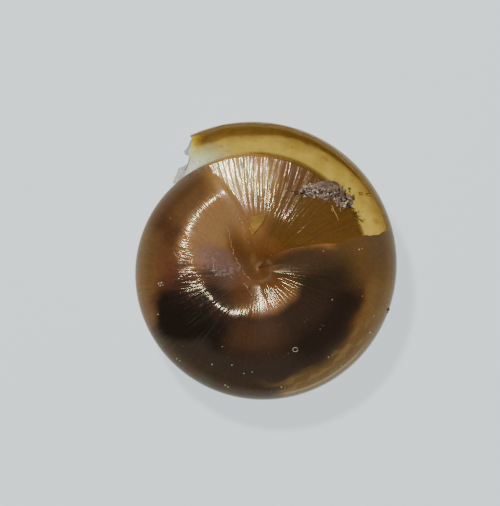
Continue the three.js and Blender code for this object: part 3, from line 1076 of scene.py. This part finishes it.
def outside_material():
    """Glossy amber over what shows through from inside, with painted sheen, reflections and a highlight line
    on the rim, fine growth lines and a matt middle.
    """
    material, nodes, surface = new_material("glossy amber wall")
    growth = nodes.value_of("growth")
    across = nodes.value_of("across")
    place = nodes.pixels()
    from_axis = nodes.from_axis(place)
    matt = nodes.step(from_axis, nodes.steps(growth, MATT_AT_FIRST, MATT), 7)

    cloud = nodes.noise(place, 0.05, 4, 0.6)
    colour = nodes.mix(nodes.step(cloud, 0.3, 0.7), rgb(152, 103, 56), rgb(170, 118, 66))
    colour = lay_patches(nodes, colour, growth, across, place)
    worn = nodes.noise(place, 0.35, 3, 0.6)
    shade = nodes.step(worn, 0.25, 0.75, 0.92, 1.08)
    colour = nodes.mix(1, colour, nodes.vector(shade, shade, shade), "MULTIPLY")
    pale = nodes.group(PALE_LIP, Growth=growth, Across=across)["Mask"]
    colour = nodes.mix(pale, colour, rgb(214, 208, 176))

    gleam = nodes.noise(nodes.vector(nodes.times(growth, 0.22), nodes.times(across, 4)), 1, 1)
    tint = nodes.mix(nodes.step(gleam, 0.52, 0.6), rgb(252, 232, 186), rgb(255, 214, 206))
    tint = nodes.mix(nodes.step(gleam, 0.46, 0.38), tint, rgb(224, 255, 208))
    height = outside_lines(nodes, growth, across, from_axis, matt)
    look = {
        "Base Color": colour,
        "Alpha": nodes.times_plus(pale, -0.5, 1),
        "Normal": nodes.bump(height, 1, 0.022 * MM),
        "Roughness": nodes.times_plus(matt, 0.34, nodes.step(worn, 0.3, 0.75, 0.1, 0.18)),
        "IOR": 1.55,
        "Coat Weight": nodes.times(nodes.steps(growth, COAT_AT_FIRST, COAT), nodes.minus(1, matt)),
        "Coat Roughness": 0.33,
        "Specular Tint": tint,
    }
    nodes.fill(surface, look)
    return material


def inside_material():
    """Yellow with a brown outer part and a painted shadow along the suture, pale and see-through at the lip;
    light comes through it from behind.
    """
    material, nodes, surface = new_material("yellow inner wall")
    growth = nodes.value_of("growth")
    across = nodes.value_of("across")
    place = nodes.pixels()
    cloud = nodes.noise(place, 0.06, 4, 0.6)
    colour = nodes.mix(nodes.step(cloud, 0.3, 0.7), rgb(216, 201, 102), rgb(201, 181, 86))
    pale = nodes.group(PALE_LIP, Growth=growth, Across=across)["Mask"]
    colour = nodes.mix(pale, colour, rgb(236, 250, 208))
    outer = nodes.step(nodes.plus(across, nodes.times(cloud, 0.3)), 0.35, 0.98)
    outer = nodes.times(outer, nodes.step(growth, 388, 430, 0.6, 0.9))
    colour = nodes.mix(outer, colour, rgb(166, 138, 68))
    # Painted shadow: darker brown in a strip along the suture
    painted_suture_shadow = nodes.times(nodes.step(across, 0.1, 0.02), nodes.step(growth, 462, 448, 0, 0.75))
    colour = nodes.mix(painted_suture_shadow, colour, rgb(118, 82, 32))
    blotch = nodes.step(nodes.noise(place, 0.11, 2, 0.5), 0.6, 0.74, 0, 0.4)
    colour = nodes.mix(blotch, colour, rgb(170, 118, 50))
    distance = nodes.from_axis(place)
    lines = nodes.group(GROWTH_LINES, Growth=growth, Across=across, Spacing=4, Distance=distance)
    look = {
        "Base Color": colour,
        "Alpha": nodes.times_plus(pale, -0.5, 1),
        "Normal": nodes.bump(lines["Height"], 0.5, 0.012 * MM),
        "Roughness": 0.35,
        "Subsurface Weight": 0.85,
        "Subsurface Radius": (1, 0.8, 0.4),
        "Subsurface Scale": 0.12 * MM,
    }
    nodes.fill(surface, look)
    return material


def edge_material():
    """Pale where the broken edge is in the open, and brown where it lies on the whorl before."""
    material, nodes, surface = new_material("broken edge of the wall")
    place = nodes.pixels()
    cloud = nodes.noise(place, 0.4, 3, 0.6)
    colour = nodes.mix(cloud, rgb(112, 88, 44), rgb(158, 128, 76))
    colour = nodes.mix(nodes.step(nodes.from_axis(place), 122, 108), colour, rgb(62, 42, 22))
    nodes.fill(surface, {"Base Color": colour, "Roughness": 0.6})
    return material


def flake_material():
    """Whitish, and thin enough to see through a little."""
    material, nodes, surface = new_material("thin pale flake")
    cloud = nodes.noise(nodes.pixels(), 0.25, 4, 0.6)
    colour = nodes.mix(cloud, rgb(196, 204, 188), rgb(236, 240, 236))
    alpha = nodes.step(cloud, 0.3, 0.7, 0.45, 0.9)
    nodes.fill(surface, {"Base Color": colour, "Alpha": alpha, "Roughness": 0.3})
    return material


def remnant_material():
    """Golden brown, and see-through towards its upper end."""
    material, nodes, surface = new_material("golden remnant")
    place = nodes.pixels()
    cloud = nodes.noise(place, 0.15, 4, 0.6)
    colour = nodes.mix(nodes.step(cloud, 0.3, 0.7), rgb(158, 116, 50), rgb(192, 148, 70))
    alpha = nodes.step(nodes.split(place)[1], 57.5, 44, 0.2, 0.85)
    nodes.fill(surface, {"Base Color": colour, "Alpha": alpha, "Roughness": 0.4})
    return material


def dirt_material():
    """Dull soil, each grain with its own shade."""
    material, nodes, surface = new_material("dull soil")
    shade = nodes.value_of("shade")
    cloud = nodes.noise(nodes.pixels(), 1.2, 3, 0.6)
    mixed = nodes.plus(nodes.times(shade, 0.7), nodes.times(cloud, 0.4))
    colour = nodes.mix(nodes.step(mixed, 0.1, 0.85), rgb(76, 58, 46), rgb(172, 150, 134))
    colour = nodes.mix(nodes.step(shade, 0.84, 0.93), colour, rgb(214, 200, 186))
    normal = nodes.bump(cloud, 0.7, 0.006 * MM)
    nodes.fill(surface, {"Base Color": colour, "Normal": normal, "Roughness": 0.85})
    return material


def clouded_material(name, scale, first, second, roughness, detail=3, evenness=0.6, ends=None):
    """Two colours mixed in small clouds; ends are the cloud values between which they change over."""
    material, nodes, surface = new_material(name)
    cloud = nodes.noise(nodes.pixels(), scale, detail, evenness)
    share = nodes.step(cloud, *ends) if ends else cloud
    nodes.fill(surface, {"Base Color": nodes.mix(share, first, second), "Roughness": roughness})
    return material


# Stage

FLOOR_HALF = 60 * MM
CAMERA_LENS = 500
CAMERA_SHOWS_AT = 1.25 * MM  # the height at which a pixel of the render is a pixel of the photo
ROOM_LIGHT = 0.98
ROOM_LIGHT_OVERHEAD = 0.05
FLOOR_GLOW = 1.08
LAMP_AZIMUTH = 118  # degrees
LAMP_OFF_AXIS = 24
LAMP_FAR = 70 * MM
LAMP_SIZE = 6.5 * MM
LAMP_POWER = 0.04
LAMP_TARGET_HEIGHT = 1.2 * MM


def make_floor():
    """A pale, faintly glowing sheet under the shell."""
    material, nodes, surface = new_material("pale floor")
    cloud = nodes.noise(nodes.pixels(), 0.002, 2)
    look = {
        "Base Color": nodes.mix(cloud, rgb(176, 182, 185), rgb(170, 176, 178)),
        "Roughness": 0.8,
        "Specular IOR Level": 0.1,
        "Emission Color": rgb(226, 237, 242),
        "Emission Strength": FLOOR_GLOW,
    }
    nodes.fill(surface, look)
    corners = [(-FLOOR_HALF, -FLOOR_HALF, 0), (FLOOR_HALF, -FLOOR_HALF, 0)]
    corners += [(FLOOR_HALF, FLOOR_HALF, 0), (-FLOOR_HALF, FLOOR_HALF, 0)]
    new_piece("floor", corners, [(0, 1, 2, 3)], material, smooth_faces=False)


def make_lamp():
    """A small disk of light that shines on the middle of the base."""
    light = bpy.data.lights.new("small lamp", "AREA")
    light.shape = "DISK"
    light.size = LAMP_SIZE
    light.energy = LAMP_POWER
    light.color = (1, 0.97, 0.9)
    lamp = bpy.data.objects.new("small lamp", light)
    bpy.context.scene.collection.objects.link(lamp)
    turn, lean = math.radians(LAMP_AZIMUTH), math.radians(LAMP_OFF_AXIS)
    towards = Vector((math.sin(lean) * math.cos(turn), math.sin(lean) * math.sin(turn), math.cos(lean)))
    lamp.location = towards * LAMP_FAR + Vector((0, 0, LAMP_TARGET_HEIGHT))
    lamp.rotation_mode = "QUATERNION"
    lamp.rotation_quaternion = (-towards).to_track_quat("-Z", "Y")


def make_room():
    """A room that is pale low down and dark overhead."""
    world = bpy.data.worlds.new("pale room")
    bpy.context.scene.world = world
    world.use_nodes = True
    room = Nodes(world.node_tree)
    upwards = room.split(room.add("ShaderNodeTexCoord").outputs["Generated"])[2]
    strength = room.step(upwards, 0.1, 0.62, ROOM_LIGHT, ROOM_LIGHT_OVERHEAD)
    room.fill(world.node_tree.nodes["Background"], {"Color": (0.93, 0.98, 1, 1), "Strength": strength})


def make_camera():
    """A far camera that looks down the coil's axis, as the photo does."""
    camera_data = bpy.data.cameras.new("camera")
    camera_data.sensor_fit = "HORIZONTAL"
    camera_data.sensor_width = 36
    camera_data.lens = CAMERA_LENS
    camera = bpy.data.objects.new("camera", camera_data)
    bpy.context.scene.collection.objects.link(camera)
    far = PHOTO_WIDTH * PIXEL * camera_data.lens / camera_data.sensor_width
    x, y = photo_place(PHOTO_WIDTH / 2, PHOTO_HEIGHT / 2)
    camera.location = (x, y, CAMERA_SHOWS_AT + far)
    camera_data.clip_start = 1 * MM
    camera_data.clip_end = 1.0
    bpy.context.scene.camera = camera


make_camera()
make_floor()
make_lamp()
make_room()

wall = make_wall(outside_material(), inside_material(), edge_material())
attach(wall, "root")
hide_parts("shell")

flakes = make_flakes(flake_material())
remnant = make_remnant(remnant_material())
torn_edge = clouded_material(
    "torn edge of the film", 0.5, rgb(120, 88, 60), rgb(232, 208, 180), 0.35, ends=(0.35, 0.65)
)
torn_edges = make_torn_edges(torn_edge)
for piece in (*flakes, remnant, torn_edges):
    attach(piece, "root")

dirt = make_dirt(dirt_material())
golden = clouded_material("golden plant fibre", 0.8, rgb(166, 132, 74), rgb(214, 186, 120), 0.5)
pale_fibres = make_fibres("pale_fibres", PALE_FIBRES, golden, 21)
brown = clouded_material("brown plant fibre", 0.8, rgb(70, 46, 26), rgb(112, 80, 48), 0.5)
dark_fibres = make_fibres("dark_fibres", DARK_FIBRES, brown, 22)
pale = clouded_material("pale specks", 1, rgb(132, 122, 106), rgb(196, 188, 172), 0.6, detail=2, evenness=0.5)
specks = make_specks(pale)
for piece in (dirt, pale_fibres, dark_fibres, specks):
    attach(piece, "root")
